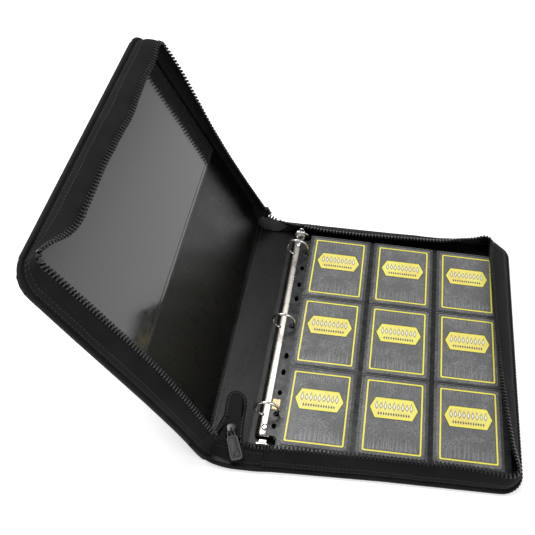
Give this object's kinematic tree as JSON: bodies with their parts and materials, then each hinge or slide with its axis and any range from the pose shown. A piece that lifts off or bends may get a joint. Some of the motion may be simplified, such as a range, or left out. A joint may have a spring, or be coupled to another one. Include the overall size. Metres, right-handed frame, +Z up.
{
  "type": "trading card binder",
  "caption": "Zip-around ring binder for trading cards, open: padded black covers with gusset walls and zip, clear pocket, lever-operated ring mechanism and a pocket page of cards.",
  "frame": {"origin": "on the surface the back cover lies on, under the middle of the open binder's box", "axes": "+X from the spine to the back cover's free edge, +Y along the spine, +Z up"},
  "size_m": [0.414, 0.326, 0.2435],
  "materials": {
    "skin": "black grained leatherette",
    "board": "matt board, enclosed",
    "lining": "smooth black leatherette",
    "piping": "black woven binding",
    "gusset": "black woven gusset",
    "tape": "black zip tape",
    "coil": "black nylon coil",
    "pocket": "clear glossy vinyl",
    "nickel": "bright nickel plate",
    "rail": "plain steel",
    "slider": "black painted metal",
    "link": "dark nickel",
    "pull": "black moulded rubber",
    "film": "smoked translucent film",
    "clear_film": "clear film",
    "card": "satin printed card",
    "foil": "glitter foil"
  },
  "bodies": {
    "back_cover": {"back_outer_cover": "skin", "back_board": "board", "back_lining": "lining", "back_piping": "piping", "back_gusset": "gusset", "back_zip_tape": "tape", "back_zip_coil": "coil", "ring_plate": "nickel", "plate_rivet_near": "nickel", "plate_rivet_far": "nickel", "hinge_skin_back": "skin"},
    "spine": {"spine_outer_cover": "skin", "spine_board": "board", "spine_lining": "lining", "zip_garage": "skin", "spine_gusset_near": "gusset", "spine_gusset_far": "gusset", "hinge_skin_front": "skin"},
    "front_cover": {"front_outer_cover": "skin", "front_board": "board", "front_lining": "lining", "front_piping": "piping", "front_gusset": "gusset", "front_zip_tape": "tape", "front_zip_coil": "coil", "front_pocket": "pocket"},
    "slider": {"zip_slider": "slider", "slider_bridge": "slider"},
    "pull": {"pull_link": "link", "pull_tab": "pull"},
    "left_rings": {"ring_rail_left": "rail", "ring_left_1": "nickel", "ring_left_2": "nickel", "ring_left_3": "nickel"},
    "right_rings": {"ring_rail_right": "rail", "ring_right_1": "nickel", "ring_right_2": "nickel", "ring_right_3": "nickel"},
    "lever_near": {"lever_near": "nickel"},
    "lever_far": {"lever_far": "nickel"},
    "page": {"page_film": "film", "page_pockets": "clear_film", "foil_sticker": "foil", "card_11": "card", "card_12": "card", "card_13": "card", "card_21": "card", "card_22": "card", "card_23": "card", "card_31": "card", "card_32": "card", "card_33": "card"}
  },
  "joints": [
    {"name": "spine_fold", "type": "hinge", "parent": "back_cover", "child": "spine", "pos_m": [-0.05497, 0, 0.002], "axis": [0, 1, 0], "range_deg": [-7, 76], "deforming": ["hinge_skin_back"]},
    {"name": "front_fold", "type": "hinge", "parent": "spine", "child": "front_cover", "pos_m": [-0.09269, 0, 0.00663], "axis": [0, 1, 0], "range_deg": [-57.5, 39.5], "deforming": ["hinge_skin_front"]},
    {"name": "page_turn", "type": "hinge", "parent": "back_cover", "child": "page", "pos_m": [-0.04147, 0, 0.0209], "axis": [0, 1, 0], "range_deg": [-120, 0]},
    {"name": "lever_near_press", "type": "hinge", "parent": "back_cover", "child": "lever_near", "pos_m": [-0.04147, -0.135, 0.0064], "axis": [-1, 0, 0], "range_deg": [-16, 0]},
    {"name": "lever_far_press", "type": "hinge", "parent": "back_cover", "child": "lever_far", "pos_m": [-0.04147, 0.131, 0.0064], "axis": [1, 0, 0], "range_deg": [-16, 0]},
    {"name": "left_rings_open", "type": "hinge", "parent": "back_cover", "child": "left_rings", "pos_m": [-0.04677, 0, 0.00665], "axis": [0, 1, 0], "range_deg": [-5, 0]},
    {"name": "right_rings_open", "type": "hinge", "parent": "back_cover", "child": "right_rings", "pos_m": [-0.03617, 0, 0.00665], "axis": [0, -1, 0], "range_deg": [-5, 0]},
    {"name": "slider_run", "type": "slide", "parent": "spine", "child": "slider", "axis": [0, 1, 0], "range_m": [-0.004, 0]},
    {"name": "pull_swing", "type": "hinge", "parent": "slider", "child": "pull", "pos_m": [-0.07279, -0.133, 0.01275], "axis": [0.917, 0.3827, -0.1126], "range_deg": [-110, 0]}
  ],
  "couplings": [
    {"joint": "lever_far_press", "follows": "lever_near_press", "ratio": 1},
    {"joint": "left_rings_open", "follows": "lever_near_press", "ratio": 0.3125},
    {"joint": "right_rings_open", "follows": "lever_near_press", "ratio": 0.3125}
  ]
}
